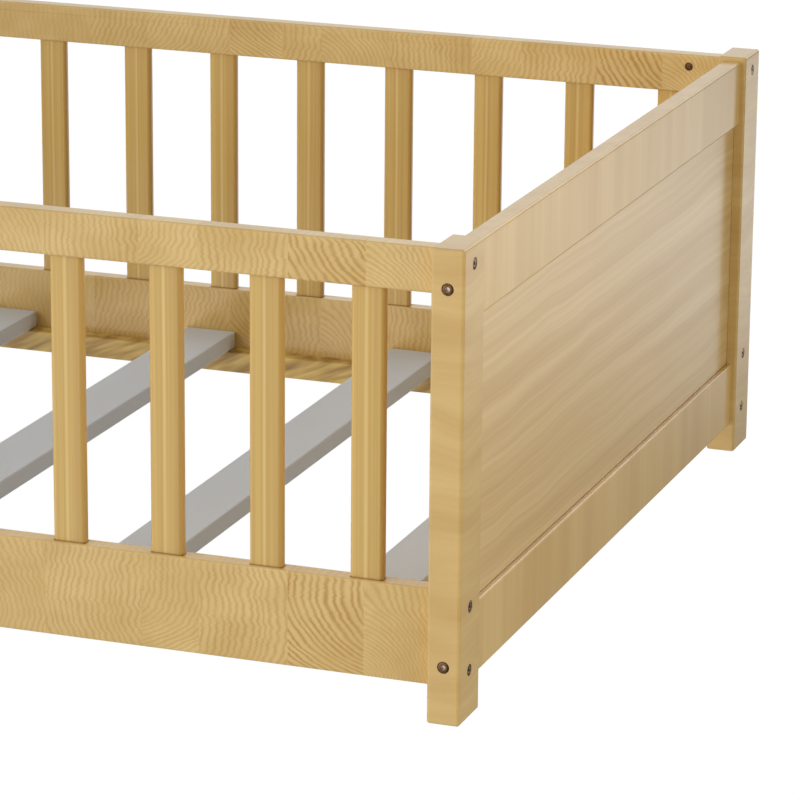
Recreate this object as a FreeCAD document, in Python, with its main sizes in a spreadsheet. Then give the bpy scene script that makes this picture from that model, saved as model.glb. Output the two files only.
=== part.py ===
# A child's platform bed of pine: four posts, two panelled ends, two slatted guard fences
# and seven painted slats, held together by bolts with barrel nuts. All sizes in millimetres.
# The origin is on the floor under the middle of the bed: X along its length, Y across it, Z up.
# Front is -Y, back is +Y, right is +X and left is -X.
import FreeCAD, Part
import os
import Sketcher

PARTS_FOLDER = "parts"
UP = FreeCAD.Vector(0, 0, 1)
ALONG = FreeCAD.Vector(1, 0, 0)
ACROSS = FreeCAD.Vector(0, 1, 0)
ENDS = {"right": 1, "left": -1}
SIDES = {"front": -1, "back": 1}

DIMENSIONS = [
    ("bed_length", 1980, "over the outer faces of the posts, along X"),
    ("bed_width", 1094, "over the outer faces of the posts, along Y"),
    ("post_height", 496, "from the floor to the top of a post"),
    ("post_thick", 35, "post size along X"),
    ("post_deep", 62, "post size along Y"),
    ("post_round", 3, "radius of every post edge"),
    ("rail_thick", 22, "thickness of all the rails"),
    ("rail_round", 2.5, "radius of the long edges of the rails"),
    ("rail_drop", 5, "from the top of the posts down to the top of the rails"),
    ("floor_gap", 34, "from the floor to the lowest rails"),
    ("guard_rail_tall", 47, "height of the top rail of a guard fence"),
    ("side_rail_tall", 103, "height of the bottom rail of a guard fence"),
    ("end_top_tall", 78, "height of the top rail of an end"),
    ("end_bottom_tall", 78, "height of the bottom rail of an end"),
    ("panel_thick", 10, "thickness of an end panel"),
    ("panel_housed", 8, "depth of panel held in the rails and posts"),
    ("panel_play", 0.3, "gap round the edges of a panel in its grooves"),
    ("spindle_wide", 36, "spindle size along X"),
    ("spindle_thick", 12, "spindle size along Y"),
    ("spindle_round", 4, "radius of the long edges of a spindle"),
    ("spindle_housed", 10, "length of spindle held in each rail"),
    ("front_spindles", 17, "number of spindles in the front fence"),
    ("front_end_space", 75, "from a post to the middle of the first front spindle"),
    ("back_spindles", 16, "number of spindles in the back fence"),
    ("back_end_space", 64.75, "from a post to the middle of the first back spindle"),
    ("slats", 7, "number of slats"),
    ("slat_end_space", 109, "from a post to the middle of the first slat"),
    ("slat_wide", 68.5, "slat size along X"),
    ("slat_thick", 21, "slat size along Z"),
    ("slat_round", 2, "radius of every slat edge"),
    ("slat_end_gap", 1.5, "from the end of a slat to the side rail"),
    ("cleat_thick", 25, "size along Y of the ledge under the slats"),
    ("cleat_tall", 27, "size along Z of the ledge under the slats"),
    ("cleat_round", 2, "radius of every cleat edge"),
    ("cleat_end_gap", 60, "from a post to the end of a cleat"),
    ("bolt_size", 6, "diameter of a bolt's shank"),
    ("bolt_past_nut", 8, "length of bolt beyond the middle of its nut"),
    ("head_size", 12, "diameter of a bolt head"),
    ("head_tall", 2.6, "thickness of a bolt head"),
    ("head_bevel", 0.7, "bevel round a bolt head"),
    ("head_sunk", 0.4, "from the face of the post down to a bolt head"),
    ("socket_flats", 4, "across the flats of the socket in a bolt head"),
    ("socket_deep", 1.8, "depth of the socket in a bolt head"),
    ("nut_size", 10, "diameter of a barrel nut"),
    ("nut_long", 18, "length of a barrel nut"),
    ("nut_setback", 42, "from the end of a rail to the middle of its nut"),
    ("guard_bolt_drop", 15, "from the top of a guard rail to its bolt"),
    ("side_bolt_inset", 17.5, "from the edges of a side rail to its two bolts"),
    ("end_top_bolt_drop", 36, "from the top of an end's top rail to its bolt"),
    ("end_bottom_bolt_rise", 28, "from the bottom of an end's bottom rail to its bolt"),
    ("dowel_size", 8, "diameter of the wooden dowels"),
    ("dowel_in_rail", 20, "length of a dowel in the end of a rail"),
    ("dowel_in_post", 10, "length of a dowel in a post"),
    ("peg_in_cleat", 14, "length of a slat's locating peg in the cleat"),
    ("peg_in_slat", 11, "length of a slat's locating peg in the slat"),
    ("screw_size", 4, "diameter of a cleat screw"),
    ("screw_in_rail", 14, "length of a cleat screw in the side rail"),
    ("screw_head_size", 8, "diameter of a cleat screw's head"),
    ("screw_head_tall", 2.5, "thickness of a cleat screw's head"),
    ("screw_offset", 16, "along X, from the middle of a slat to its cleat screw"),
    ("fit_play", 0.15, "gap on each side of a piece that is pushed into a hole"),
    ("bolt_play", 0.25, "gap on each side of a bolt in wood"),
    ("head_play", 0.5, "gap on each side of a screw or bolt head in its counterbore"),
    ("end_play", 0.3, "gap beyond the end of a piece in a blind hole"),
]

# Sizes that follow from the driving ones
RAIL_LENGTH = "(dims.bed_length - 2 * dims.post_thick)"
END_LENGTH = "(dims.bed_width - 2 * dims.post_deep)"
SIDE_LINE = "(dims.bed_width / 2 - dims.post_deep / 2)"
END_LINE = "(dims.bed_length / 2 - dims.post_thick / 2)"
RAIL_TOP = "(dims.post_height - dims.rail_drop)"
GUARD_BOTTOM = f"({RAIL_TOP} - dims.guard_rail_tall)"
SIDE_TOP = "(dims.floor_gap + dims.side_rail_tall)"
END_TOP_BOTTOM = f"({RAIL_TOP} - dims.end_top_tall)"
END_BOTTOM_TOP = "(dims.floor_gap + dims.end_bottom_tall)"
SIDE_RAIL_INSIDE = f"({SIDE_LINE} - dims.rail_thick / 2)"
SLAT_BOTTOM = "(dims.floor_gap + dims.cleat_tall)"
CLEAT_LINE = f"({SIDE_RAIL_INSIDE} - dims.cleat_thick / 2)"
CLEAT_LENGTH = f"({RAIL_LENGTH} - 2 * dims.cleat_end_gap)"
SLAT_LENGTH = f"(2 * {SIDE_RAIL_INSIDE} - 2 * dims.slat_end_gap)"

# Heights of the bolts, and of the dowels beside them
GUARD_BOLT = f"({RAIL_TOP} - dims.guard_bolt_drop)"
SIDE_BOLT_HIGH = f"({SIDE_TOP} - dims.side_bolt_inset)"
SIDE_BOLT_LOW = "(dims.floor_gap + dims.side_bolt_inset)"
END_TOP_BOLT = f"({RAIL_TOP} - dims.end_top_bolt_drop)"
END_BOTTOM_BOLT = "(dims.floor_gap + dims.end_bottom_bolt_rise)"
GUARD_DOWEL = f"(({GUARD_BOLT} + {GUARD_BOTTOM}) / 2)"
SIDE_DOWEL = f"(({SIDE_BOLT_HIGH} + {SIDE_BOLT_LOW}) / 2)"
END_TOP_DOWEL = f"(({END_TOP_BOLT} + {END_TOP_BOTTOM} + dims.panel_housed) / 2)"
END_BOTTOM_DOWEL = f"(({END_BOTTOM_BOLT} + {END_BOTTOM_TOP} - dims.panel_housed) / 2)"
SIDE_BOLTS = [GUARD_BOLT, SIDE_BOLT_HIGH, SIDE_BOLT_LOW]
SIDE_DOWELS = [GUARD_DOWEL, SIDE_DOWEL]
END_BOLTS = [END_TOP_BOLT, END_BOTTOM_BOLT]
END_DOWELS = [END_TOP_DOWEL, END_BOTTOM_DOWEL]

# Holes that pieces are pushed into
BOLT_BORE = "(dims.bolt_size + 2 * dims.bolt_play)"
HEAD_BORE = "(dims.head_size + 2 * dims.head_play)"
HEAD_BORE_DEPTH = "(dims.head_tall + dims.head_sunk)"
NUT_BORE = "(dims.nut_size + 2 * dims.fit_play)"
NUT_BORE_DEPTH = "(dims.rail_thick / 2 + dims.nut_long / 2 + dims.end_play)"
RAIL_BOLT_DEPTH = "(dims.nut_setback + dims.bolt_past_nut + dims.end_play)"
DOWEL_BORE = "(dims.dowel_size + 2 * dims.fit_play)"
GROOVE = "(dims.panel_thick + 2 * dims.panel_play)"
GROOVE_DEPTH = "(dims.panel_housed + dims.panel_play)"
SCREW_BORE = "(dims.screw_size + 2 * dims.fit_play)"

document = FreeCAD.newDocument("platform_bed")
dims = document.addObject("Spreadsheet::Sheet", "dims")
for row, (alias, size, meaning) in enumerate(DIMENSIONS, start=1):
    dims.set(f"A{row}", meaning)
    dims.set(f"B{row}", str(size))
    dims.setAlias(f"B{row}", alias)
document.recompute()
subparts = []


def measure(expression):
    """The number that an expression on the sheet comes to."""
    return float(dims.evalExpression(expression))


def spread(number, end_space):
    """Expressions for the X places of evenly spaced pieces, and for their pitch."""
    pitch = f"(({RAIL_LENGTH} - 2 * {end_space}) / ({number} - 1))"
    count = round(measure(number))
    first = f"({end_space} - {RAIL_LENGTH} / 2)"
    return [f"({first} + {index} * {pitch})" for index in range(count)], pitch


FRONT_PLACES, FRONT_PITCH = spread("dims.front_spindles", "dims.front_end_space")
BACK_PLACES, BACK_PITCH = spread("dims.back_spindles", "dims.back_end_space")
SLAT_PLACES, SLAT_PITCH = spread("dims.slats", "dims.slat_end_space")


# Drawing and cutting

def new_body(label):
    body = document.addObject("PartDesign::Body", label)
    body.Label = label
    subparts.append(body)
    return body


def put(piece, x="0", y="0", z="0", turn=0):
    """Turn a piece about Z and bind its place to the sheet."""
    piece.Placement = FreeCAD.Placement(FreeCAD.Vector(), FreeCAD.Rotation(UP, turn))
    for axis, expression in (("x", x), ("y", y), ("z", z)):
        piece.setExpression(f"Placement.Base.{axis}", expression)


def new_sketch(body, plane_role, height="0"):
    """A sketch on one of the body's own planes, moved along that plane's normal."""
    sketch = body.newObject("Sketcher::SketchObject", "Sketch")
    plane = next(item for item in body.Origin.OriginFeatures if item.Role == plane_role)
    sketch.AttachmentSupport = (plane, "")
    sketch.MapMode = "FlatFace"
    sketch.setExpression("AttachmentOffset.Base.z", height)
    return sketch


def bind(sketch, constraint, expression):
    index = sketch.addConstraint(constraint)
    sketch.setExpression(f"Constraints[{index}]", expression)


def bind_point(sketch, item, point, across, up):
    """Hold a point of a drawn item at two distances from the sketch's origin."""
    bind(sketch, Sketcher.Constraint("DistanceX", -1, 1, item, point, measure(across)), across)
    bind(sketch, Sketcher.Constraint("DistanceY", -1, 1, item, point, measure(up)), up)


def draw_rectangle(sketch, left, right, low, high):
    corners = [(left, low), (right, low), (right, high), (left, high)]
    points = [FreeCAD.Vector(measure(across), measure(up), 0) for across, up in corners]
    lines = [sketch.addGeometry(Part.LineSegment(points[index], points[(index + 1) % 4]))
             for index in range(4)]
    for index, line in enumerate(lines):
        following = lines[(index + 1) % 4]
        sketch.addConstraint(Sketcher.Constraint("Coincident", line, 2, following, 1))
        direction = "Horizontal" if index % 2 == 0 else "Vertical"
        sketch.addConstraint(Sketcher.Constraint(direction, line))
    bind_point(sketch, lines[0], 1, left, low)
    bind_point(sketch, lines[2], 1, right, high)


def draw_circle(sketch, across, up, diameter):
    centre = FreeCAD.Vector(measure(across), measure(up), 0)
    circle = sketch.addGeometry(Part.Circle(centre, UP, measure(diameter) / 2))
    bind(sketch, Sketcher.Constraint("Diameter", circle, measure(diameter)), diameter)
    bind_point(sketch, circle, 3, across, up)


def half(expression):
    return f"({expression} / 2)"


def minus(expression):
    return f"(0 - {expression})"


def pad(body, sketch, length, symmetric=False):
    feature = body.newObject("PartDesign::Pad", "Pad")
    feature.Profile = sketch
    feature.SideType = "Symmetric" if symmetric else "One side"
    feature.setExpression("Length", length)
    return feature


def pocket(body, sketch, depth, against_normal=True):
    """Cut the sketch into the body, against its plane's normal or along it."""
    feature = body.newObject("PartDesign::Pocket", "Pocket")
    feature.Profile = sketch
    feature.setExpression("Length", depth)
    feature.Reversed = not against_normal
    return feature


def round_edges(body, base, radius, direction=None):
    """Round the edges that run in one direction, or all of them."""
    base.recompute(True)
    feature = body.newObject("PartDesign::Fillet", "Fillet")
    if direction is None:
        feature.UseAllEdges = True
        names = [""]
    else:
        names = [f"Edge{index}" for index, edge in enumerate(base.Shape.Edges, start=1)
                 if edge.tangentAt(edge.FirstParameter).cross(direction).Length < 1e-6]
    feature.Base = (base, names)
    feature.setExpression("Radius", radius)


def bore(body, plane_role, height, places, diameter, depth, against_normal=True):
    """Drill holes of one size from one plane."""
    sketch = new_sketch(body, plane_role, height)
    for across, up in places:
        draw_circle(sketch, across, up, diameter)
    return pocket(body, sketch, depth, against_normal)


# Posts

def make_post(end, side):
    """A post, with its bolt holes, its dowel holes and the groove for the end panel."""
    outward, away = ENDS[end], SIDES[side]
    body = new_body(f"post_{side}_{end}")
    outline = new_sketch(body, "XY_Plane")
    thick, deep = half("dims.post_thick"), half("dims.post_deep")
    draw_rectangle(outline, minus(thick), thick, minus(deep), deep)
    block = pad(body, outline, "dims.post_height")
    round_edges(body, block, "dims.post_round")

    outer_end = f"({outward} * {thick})"
    inner_end = minus(outer_end)
    side_bolts = [("0", height) for height in SIDE_BOLTS]
    bore(body, "YZ_Plane", outer_end, side_bolts, BOLT_BORE, "dims.post_thick", outward > 0)
    bore(body, "YZ_Plane", outer_end, side_bolts, HEAD_BORE, HEAD_BORE_DEPTH, outward > 0)
    dowel_depth = "(dims.dowel_in_post + dims.end_play)"
    side_dowels = [("0", height) for height in SIDE_DOWELS]
    bore(body, "YZ_Plane", inner_end, side_dowels, DOWEL_BORE, dowel_depth, outward < 0)

    # The XZ plane's normal points towards -Y
    inner_side = f"({away} * {deep})"
    outer_side = minus(inner_side)
    end_bolts = [("0", height) for height in END_BOLTS]
    bore(body, "XZ_Plane", outer_side, end_bolts, BOLT_BORE, "dims.post_deep", away < 0)
    bore(body, "XZ_Plane", outer_side, end_bolts, HEAD_BORE, HEAD_BORE_DEPTH, away < 0)
    end_dowels = [("0", height) for height in END_DOWELS]
    bore(body, "XZ_Plane", inner_side, end_dowels, DOWEL_BORE, dowel_depth, away > 0)

    groove = new_sketch(body, "XZ_Plane", inner_side)
    draw_rectangle(groove, minus(half(GROOVE)), half(GROOVE),
                   f"({END_BOTTOM_TOP} - {GROOVE_DEPTH})", f"({END_TOP_BOTTOM} + {GROOVE_DEPTH})")
    pocket(body, groove, GROOVE_DEPTH, away > 0)
    put(body, x=f"({outward} * {END_LINE})", y=f"({away} * {SIDE_LINE})")


# Rails: drawn with their length along X, their outer face towards +Y and their bottom edge at Z 0

def make_board(label, length, thick, tall, radius):
    body = new_body(label)
    section = new_sketch(body, "YZ_Plane")
    draw_rectangle(section, minus(half(thick)), half(thick), "0", tall)
    block = pad(body, section, length, symmetric=True)
    round_edges(body, block, radius, ALONG)
    return body


def drill_rail_ends(body, length, bottom, bolts, dowels):
    """Bolt and dowel holes in both ends, and barrel nut holes from the inner face."""
    bolt_places = [("0", f"({height} - {bottom})") for height in bolts]
    dowel_places = [("0", f"({height} - {bottom})") for height in dowels]
    dowel_depth = "(dims.dowel_in_rail + dims.end_play)"
    nuts = []
    for outward in ENDS.values():
        face = f"({outward} * {half(length)})"
        bore(body, "YZ_Plane", face, bolt_places, BOLT_BORE, RAIL_BOLT_DEPTH, outward > 0)
        bore(body, "YZ_Plane", face, dowel_places, DOWEL_BORE, dowel_depth, outward > 0)
        middle = f"({outward} * ({half(length)} - dims.nut_setback))"
        nuts += [(middle, height) for _, height in bolt_places]
    bore(body, "XZ_Plane", half("dims.rail_thick"), nuts, NUT_BORE, NUT_BORE_DEPTH)


def cut_mortises(body, height, places, pitch, number, against_normal):
    """A row of blind slots for the ends of the spindles."""
    slot = new_sketch(body, "XY_Plane", height)
    wide = half("(dims.spindle_wide + 2 * dims.fit_play)")
    thick = half("(dims.spindle_thick + 2 * dims.fit_play)")
    draw_rectangle(slot, f"({places[0]} - {wide})", f"({places[0]} + {wide})", minus(thick), thick)
    mortise = pocket(body, slot, "(dims.spindle_housed + dims.end_play)", against_normal)
    row = body.newObject("PartDesign::LinearPattern", "Row")
    row.Originals = [mortise]
    row.Direction = (slot, ["H_Axis"])
    row.Mode = "Spacing"
    row.setExpression("Offset", pitch)
    row.setExpression("Occurrences", number)
    body.Tip = row


def make_fence(side, places, pitch, number):
    """The guard rail, side rail and spindles of one side."""
    away = SIDES[side]
    turn = 0 if away > 0 else 180
    line = f"({away} * {SIDE_LINE})"

    guard = make_board(f"guard_rail_{side}", RAIL_LENGTH, "dims.rail_thick",
                       "dims.guard_rail_tall", "dims.rail_round")
    drill_rail_ends(guard, RAIL_LENGTH, GUARD_BOTTOM, [GUARD_BOLT], [GUARD_DOWEL])
    cut_mortises(guard, "0", places, pitch, number, against_normal=False)
    put(guard, y=line, z=GUARD_BOTTOM, turn=turn)

    rail = make_board(f"side_rail_{side}", RAIL_LENGTH, "dims.rail_thick",
                      "dims.side_rail_tall", "dims.rail_round")
    drill_rail_ends(rail, RAIL_LENGTH, "dims.floor_gap", [SIDE_BOLT_HIGH, SIDE_BOLT_LOW], [SIDE_DOWEL])
    screws = [(f"({away} * ({place} - dims.screw_offset))", half("dims.cleat_tall"))
              for place in SLAT_PLACES]
    bore(rail, "XZ_Plane", half("dims.rail_thick"), screws, SCREW_BORE,
         "(dims.screw_in_rail + dims.end_play)")
    cut_mortises(rail, "dims.side_rail_tall", places, pitch, number, against_normal=True)
    put(rail, y=line, z="dims.floor_gap", turn=turn)

    for index, place in enumerate(places, start=1):
        make_spindle(f"spindle_{side}_{index:02d}", place, line)


def make_spindle(label, place, line):
    """A flat bar with rounded edges, its two ends housed in the rails."""
    body = new_body(label)
    section = new_sketch(body, "XY_Plane")
    wide, thick = half("dims.spindle_wide"), half("dims.spindle_thick")
    draw_rectangle(section, minus(wide), wide, minus(thick), thick)
    bar = pad(body, section, f"({GUARD_BOTTOM} - {SIDE_TOP} + 2 * dims.spindle_housed)")
    radius = f"min(dims.spindle_round; {thick} - dims.fit_play)"
    round_edges(body, bar, radius, UP)
    put(body, x=place, y=line, z=f"({SIDE_TOP} - dims.spindle_housed)")


# Ends

def make_end(end):
    """The top rail, bottom rail and floating panel of one end."""
    outward = ENDS[end]
    turn = -90 * outward
    line = f"({outward} * {END_LINE})"
    rails = [("top", "dims.end_top_tall", END_TOP_BOTTOM, END_TOP_BOLT, END_TOP_DOWEL, "0"),
             ("bottom", "dims.end_bottom_tall", "dims.floor_gap", END_BOTTOM_BOLT,
              END_BOTTOM_DOWEL, "dims.end_bottom_tall")]
    for name, tall, bottom, bolt, dowel, grooved_edge in rails:
        body = make_board(f"end_{name}_rail_{end}", END_LENGTH, "dims.rail_thick", tall, "dims.rail_round")
        drill_rail_ends(body, END_LENGTH, bottom, [bolt], [dowel])
        groove = new_sketch(body, "XY_Plane", grooved_edge)
        draw_rectangle(groove, minus(half(END_LENGTH)), half(END_LENGTH),
                       minus(half(GROOVE)), half(GROOVE))
        pocket(body, groove, GROOVE_DEPTH, against_normal=name == "bottom")
        put(body, x=line, z=bottom, turn=turn)

    panel = new_body(f"end_panel_{end}")
    section = new_sketch(panel, "XY_Plane")
    reach = f"({half(END_LENGTH)} + dims.panel_housed)"
    thick = half("dims.panel_thick")
    draw_rectangle(section, minus(reach), reach, minus(thick), thick)
    pad(panel, section, f"({END_TOP_BOTTOM} - {END_BOTTOM_TOP} + 2 * dims.panel_housed)")
    put(panel, x=line, z=f"({END_BOTTOM_TOP} - dims.panel_housed)", turn=turn)


# Slats and the cleats that carry them

def make_cleat(side):
    """The ledge on a side rail's inner face, drilled for its screws and the slats' pegs."""
    away = SIDES[side]
    body = make_board(f"slat_cleat_{side}", CLEAT_LENGTH, "dims.cleat_thick", "dims.cleat_tall",
                      "dims.cleat_round")
    screws = [(f"({away} * ({place} - dims.screw_offset))", half("dims.cleat_tall"))
              for place in SLAT_PLACES]
    inner_face = half("dims.cleat_thick")
    bore(body, "XZ_Plane", inner_face, screws, SCREW_BORE, "dims.cleat_thick")
    bore(body, "XZ_Plane", inner_face, screws, "(dims.screw_head_size + 2 * dims.head_play)",
         "(dims.screw_head_tall + dims.end_play)")
    pegs = [(f"({away} * {place})", "0") for place in SLAT_PLACES]
    bore(body, "XY_Plane", "dims.cleat_tall", pegs, DOWEL_BORE, "(dims.peg_in_cleat + dims.end_play)")
    put(body, y=f"({away} * {CLEAT_LINE})", z="dims.floor_gap", turn=0 if away > 0 else 180)


def make_slat(label, place):
    """A painted board across the bed, with a blind hole under each end for its peg."""
    body = new_body(label)
    outline = new_sketch(body, "XY_Plane")
    wide, reach = half("dims.slat_wide"), half(SLAT_LENGTH)
    draw_rectangle(outline, minus(wide), wide, minus(reach), reach)
    block = pad(body, outline, "dims.slat_thick")
    round_edges(body, block, "dims.slat_round")
    pegs = [("0", f"({away} * {CLEAT_LINE})") for away in SIDES.values()]
    bore(body, "XY_Plane", "0", pegs, DOWEL_BORE, "(dims.peg_in_slat + dims.end_play)",
         against_normal=False)
    put(body, x=place, z=SLAT_BOTTOM)


# Hardware: each kind is one group of separate solids

def add_group(label, solids):
    group = document.addObject("Part::Feature", label)
    group.Label = label
    group.Shape = Part.makeCompound(solids)
    subparts.append(group)


def turned_copy(solid, axis_from, axis_to, place):
    copy = solid.copy()
    copy.Placement = FreeCAD.Placement(place, FreeCAD.Rotation(axis_from, axis_to))
    return copy


def bolt_solid(post_size):
    """A bolt pointing along +Z from the outer face of a post, which is at Z 0."""
    size = dims.head_size / 2
    head_top = dims.head_sunk
    seat = head_top + dims.head_tall
    bevel_end = head_top + dims.head_bevel
    tip = post_size + dims.nut_setback + dims.bolt_past_nut
    crown = Part.makeCone(size - dims.head_bevel, size, dims.head_bevel, FreeCAD.Vector(0, 0, head_top))
    rim = Part.makeCylinder(size, seat - bevel_end, FreeCAD.Vector(0, 0, bevel_end))
    shank = Part.makeCylinder(dims.bolt_size / 2, tip - seat, FreeCAD.Vector(0, 0, seat))
    corner = dims.socket_flats / 3 ** 0.5
    turns = [FreeCAD.Rotation(UP, 60 * index) for index in range(7)]
    outline = Part.makePolygon([turn.multVec(FreeCAD.Vector(corner, 0, head_top)) for turn in turns])
    socket = Part.Face(outline).extrude(UP * dims.socket_deep)
    return crown.fuse([rim, shank]).removeSplitter().cut(socket)


def nut_solid(hole_axis):
    """A barrel nut along Z about its middle, with its cross hole along the axis given."""
    barrel = Part.makeCylinder(dims.nut_size / 2, dims.nut_long, UP * (-dims.nut_long / 2))
    hole_size = dims.bolt_size / 2 + dims.fit_play
    hole = Part.makeCylinder(hole_size, dims.nut_size, hole_axis * (-dims.nut_size / 2), hole_axis)
    return barrel.cut(hole)


def make_bolts_and_nuts():
    """Five bolts at each post: three into the side's rails and two into the end's rails."""
    long_bolt, short_bolt = bolt_solid(dims.post_deep), bolt_solid(dims.post_thick)
    side_nut, end_nut = nut_solid(ALONG), nut_solid(ACROSS)
    end_line, side_line = measure(END_LINE), measure(SIDE_LINE)
    nut_x = measure(RAIL_LENGTH) / 2 - dims.nut_setback
    nut_y = measure(END_LENGTH) / 2 - dims.nut_setback
    bolts, nuts = [], []
    for outward in ENDS.values():
        for away in SIDES.values():
            for height in map(measure, SIDE_BOLTS):
                face = FreeCAD.Vector(outward * dims.bed_length / 2, away * side_line, height)
                bolts.append(turned_copy(short_bolt, UP, ALONG * -outward, face))
                middle = FreeCAD.Vector(outward * nut_x, away * side_line, height)
                nuts.append(turned_copy(side_nut, UP, ACROSS, middle))
            for height in map(measure, END_BOLTS):
                face = FreeCAD.Vector(outward * end_line, away * dims.bed_width / 2, height)
                bolts.append(turned_copy(long_bolt, UP, ACROSS * -away, face))
                middle = FreeCAD.Vector(outward * end_line, away * nut_y, height)
                nuts.append(turned_copy(end_nut, UP, ALONG, middle))
    add_group("bolts", bolts)
    add_group("barrel_nuts", nuts)


def make_dowels():
    """The dowels between posts and rails, and the pegs under the slats."""
    radius = dims.dowel_size / 2
    length = dims.dowel_in_rail + dims.dowel_in_post
    rail_end, end_rail_end = measure(RAIL_LENGTH) / 2, measure(END_LENGTH) / 2
    end_line, side_line = measure(END_LINE), measure(SIDE_LINE)
    dowels = []
    for outward in ENDS.values():
        for away in SIDES.values():
            for height in map(measure, SIDE_DOWELS):
                start = FreeCAD.Vector(outward * (rail_end - dims.dowel_in_rail), away * side_line, height)
                dowels.append(Part.makeCylinder(radius, length, start, ALONG * outward))
            for height in map(measure, END_DOWELS):
                start = FreeCAD.Vector(outward * end_line, away * (end_rail_end - dims.dowel_in_rail), height)
                dowels.append(Part.makeCylinder(radius, length, start, ACROSS * away))
    peg_start = measure(SLAT_BOTTOM) - dims.peg_in_cleat
    for place in map(measure, SLAT_PLACES):
        for away in SIDES.values():
            start = FreeCAD.Vector(place, away * measure(CLEAT_LINE), peg_start)
            dowels.append(Part.makeCylinder(radius, dims.peg_in_cleat + dims.peg_in_slat, start, UP))
    add_group("wood_dowels", dowels)


def make_cleat_screws():
    """The screws that hold the cleats on the side rails, one behind the end of each slat."""
    height = measure("dims.floor_gap + dims.cleat_tall / 2")
    cleat_face = measure(SIDE_RAIL_INSIDE) - dims.cleat_thick
    head_front = cleat_face + dims.end_play
    seat = head_front + dims.screw_head_tall
    tip = measure(SIDE_RAIL_INSIDE) + dims.screw_in_rail
    screws = []
    for place in map(measure, SLAT_PLACES):
        for away in SIDES.values():
            x = place - dims.screw_offset
            start = FreeCAD.Vector(x, away * head_front, height)
            head = Part.makeCylinder(dims.screw_head_size / 2, dims.screw_head_tall, start, ACROSS * away)
            start = FreeCAD.Vector(x, away * seat, height)
            shank = Part.makeCylinder(dims.screw_size / 2, tip - seat, start, ACROSS * away)
            screws.append(head.fuse(shank))
    add_group("cleat_screws", screws)


def check_document():
    """Stop if a piece failed, or if a cut took nothing away."""
    for item in document.Objects:
        if "Invalid" in item.State or "Error" in item.State:
            raise RuntimeError(f"{item.Label} failed: {item.State}")
        if item.TypeId == "PartDesign::Pocket" and item.Shape.Volume >= item.BaseFeature.Shape.Volume:
            raise RuntimeError(f"{item.Label} cuts nothing")
    for piece in subparts:
        if piece.Shape.isNull() or not piece.Shape.isValid():
            raise RuntimeError(f"{piece.Label} has no valid shape")


for end_name in ENDS:
    for side_name in SIDES:
        make_post(end_name, side_name)
    make_end(end_name)
make_fence("front", FRONT_PLACES, FRONT_PITCH, "dims.front_spindles")
make_fence("back", BACK_PLACES, BACK_PITCH, "dims.back_spindles")
for side_name in SIDES:
    make_cleat(side_name)
for number, slat_place in enumerate(SLAT_PLACES, start=1):
    make_slat(f"slat_{number}", slat_place)
make_bolts_and_nuts()
make_dowels()
make_cleat_screws()
document.recompute()
check_document()

os.makedirs(PARTS_FOLDER, exist_ok=True)
for piece in subparts:
    piece.Shape.exportStep(f"{PARTS_FOLDER}/{piece.Label}.step")
print(f"{len(subparts)} sub-parts written")
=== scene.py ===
import math
from typing import NamedTuple

import bmesh
import bpy
from mathutils import Matrix, Vector


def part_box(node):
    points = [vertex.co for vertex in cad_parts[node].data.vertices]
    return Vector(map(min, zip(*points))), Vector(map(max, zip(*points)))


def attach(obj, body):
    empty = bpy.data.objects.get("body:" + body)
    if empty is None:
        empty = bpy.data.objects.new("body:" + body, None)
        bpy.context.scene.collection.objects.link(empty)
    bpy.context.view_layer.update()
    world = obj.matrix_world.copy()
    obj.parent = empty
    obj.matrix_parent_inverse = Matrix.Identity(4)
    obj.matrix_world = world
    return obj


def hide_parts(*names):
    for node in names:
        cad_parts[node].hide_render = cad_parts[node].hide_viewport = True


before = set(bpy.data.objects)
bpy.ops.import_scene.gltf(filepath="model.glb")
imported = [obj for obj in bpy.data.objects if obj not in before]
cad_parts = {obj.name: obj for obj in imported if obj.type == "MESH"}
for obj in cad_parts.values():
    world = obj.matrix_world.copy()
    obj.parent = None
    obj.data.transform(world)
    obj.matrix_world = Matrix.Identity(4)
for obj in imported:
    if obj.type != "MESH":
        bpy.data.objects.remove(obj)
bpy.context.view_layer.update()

# A child's platform bed in lacquered pine with grey painted slats, in a plain white studio.
# Metres throughout: X along the bed, Y towards its back fence, Z up from the floor.
MILLIMETRE = 0.001


# Building node trees

class NodeTree:
    """A node tree under construction."""

    def __init__(self, tree):
        self.tree = tree

    def add(self, kind, inputs=None, **settings):
        """Add a node, set it up, and feed its inputs with values or other nodes' outputs."""
        node = self.tree.nodes.new(kind)
        for name, value in settings.items():
            setattr(node, name, value)
        for name, value in (inputs or {}).items():
            self.feed(node.inputs[name], value)
        return node

    def feed(self, socket, value):
        if isinstance(value, bpy.types.NodeSocket):
            self.tree.links.new(value, socket)
        else:
            socket.default_value = value

    def calc(self, operation, first, second=0.0, third=0.0):
        inputs = {0: first, 1: second, 2: third}
        return self.add("ShaderNodeMath", inputs, operation=operation).outputs["Value"]

    def measure(self, operation, first, second=(0.0, 0.0, 0.0)):
        """A number worked out from one or two vectors."""
        inputs = {0: first, 1: second}
        return self.add("ShaderNodeVectorMath", inputs, operation=operation).outputs["Value"]

    def split(self, vector):
        node = self.add("ShaderNodeSeparateXYZ", {"Vector": vector})
        return node.outputs["X"], node.outputs["Y"], node.outputs["Z"]

    def join(self, x=0.0, y=0.0, z=0.0):
        return self.add("ShaderNodeCombineXYZ", {"X": x, "Y": y, "Z": z}).outputs["Vector"]

    def spread(self, value, low, high, to_low=0.0, to_high=1.0):
        """Map the range from low to high onto another range, with soft ends."""
        inputs = {"Value": value, "From Min": low, "From Max": high, "To Min": to_low, "To Max": to_high}
        return self.add("ShaderNodeMapRange", inputs, interpolation_type="SMOOTHSTEP").outputs["Result"]


# Building finishes

NOISE_MIDDLE = 0.5


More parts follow.
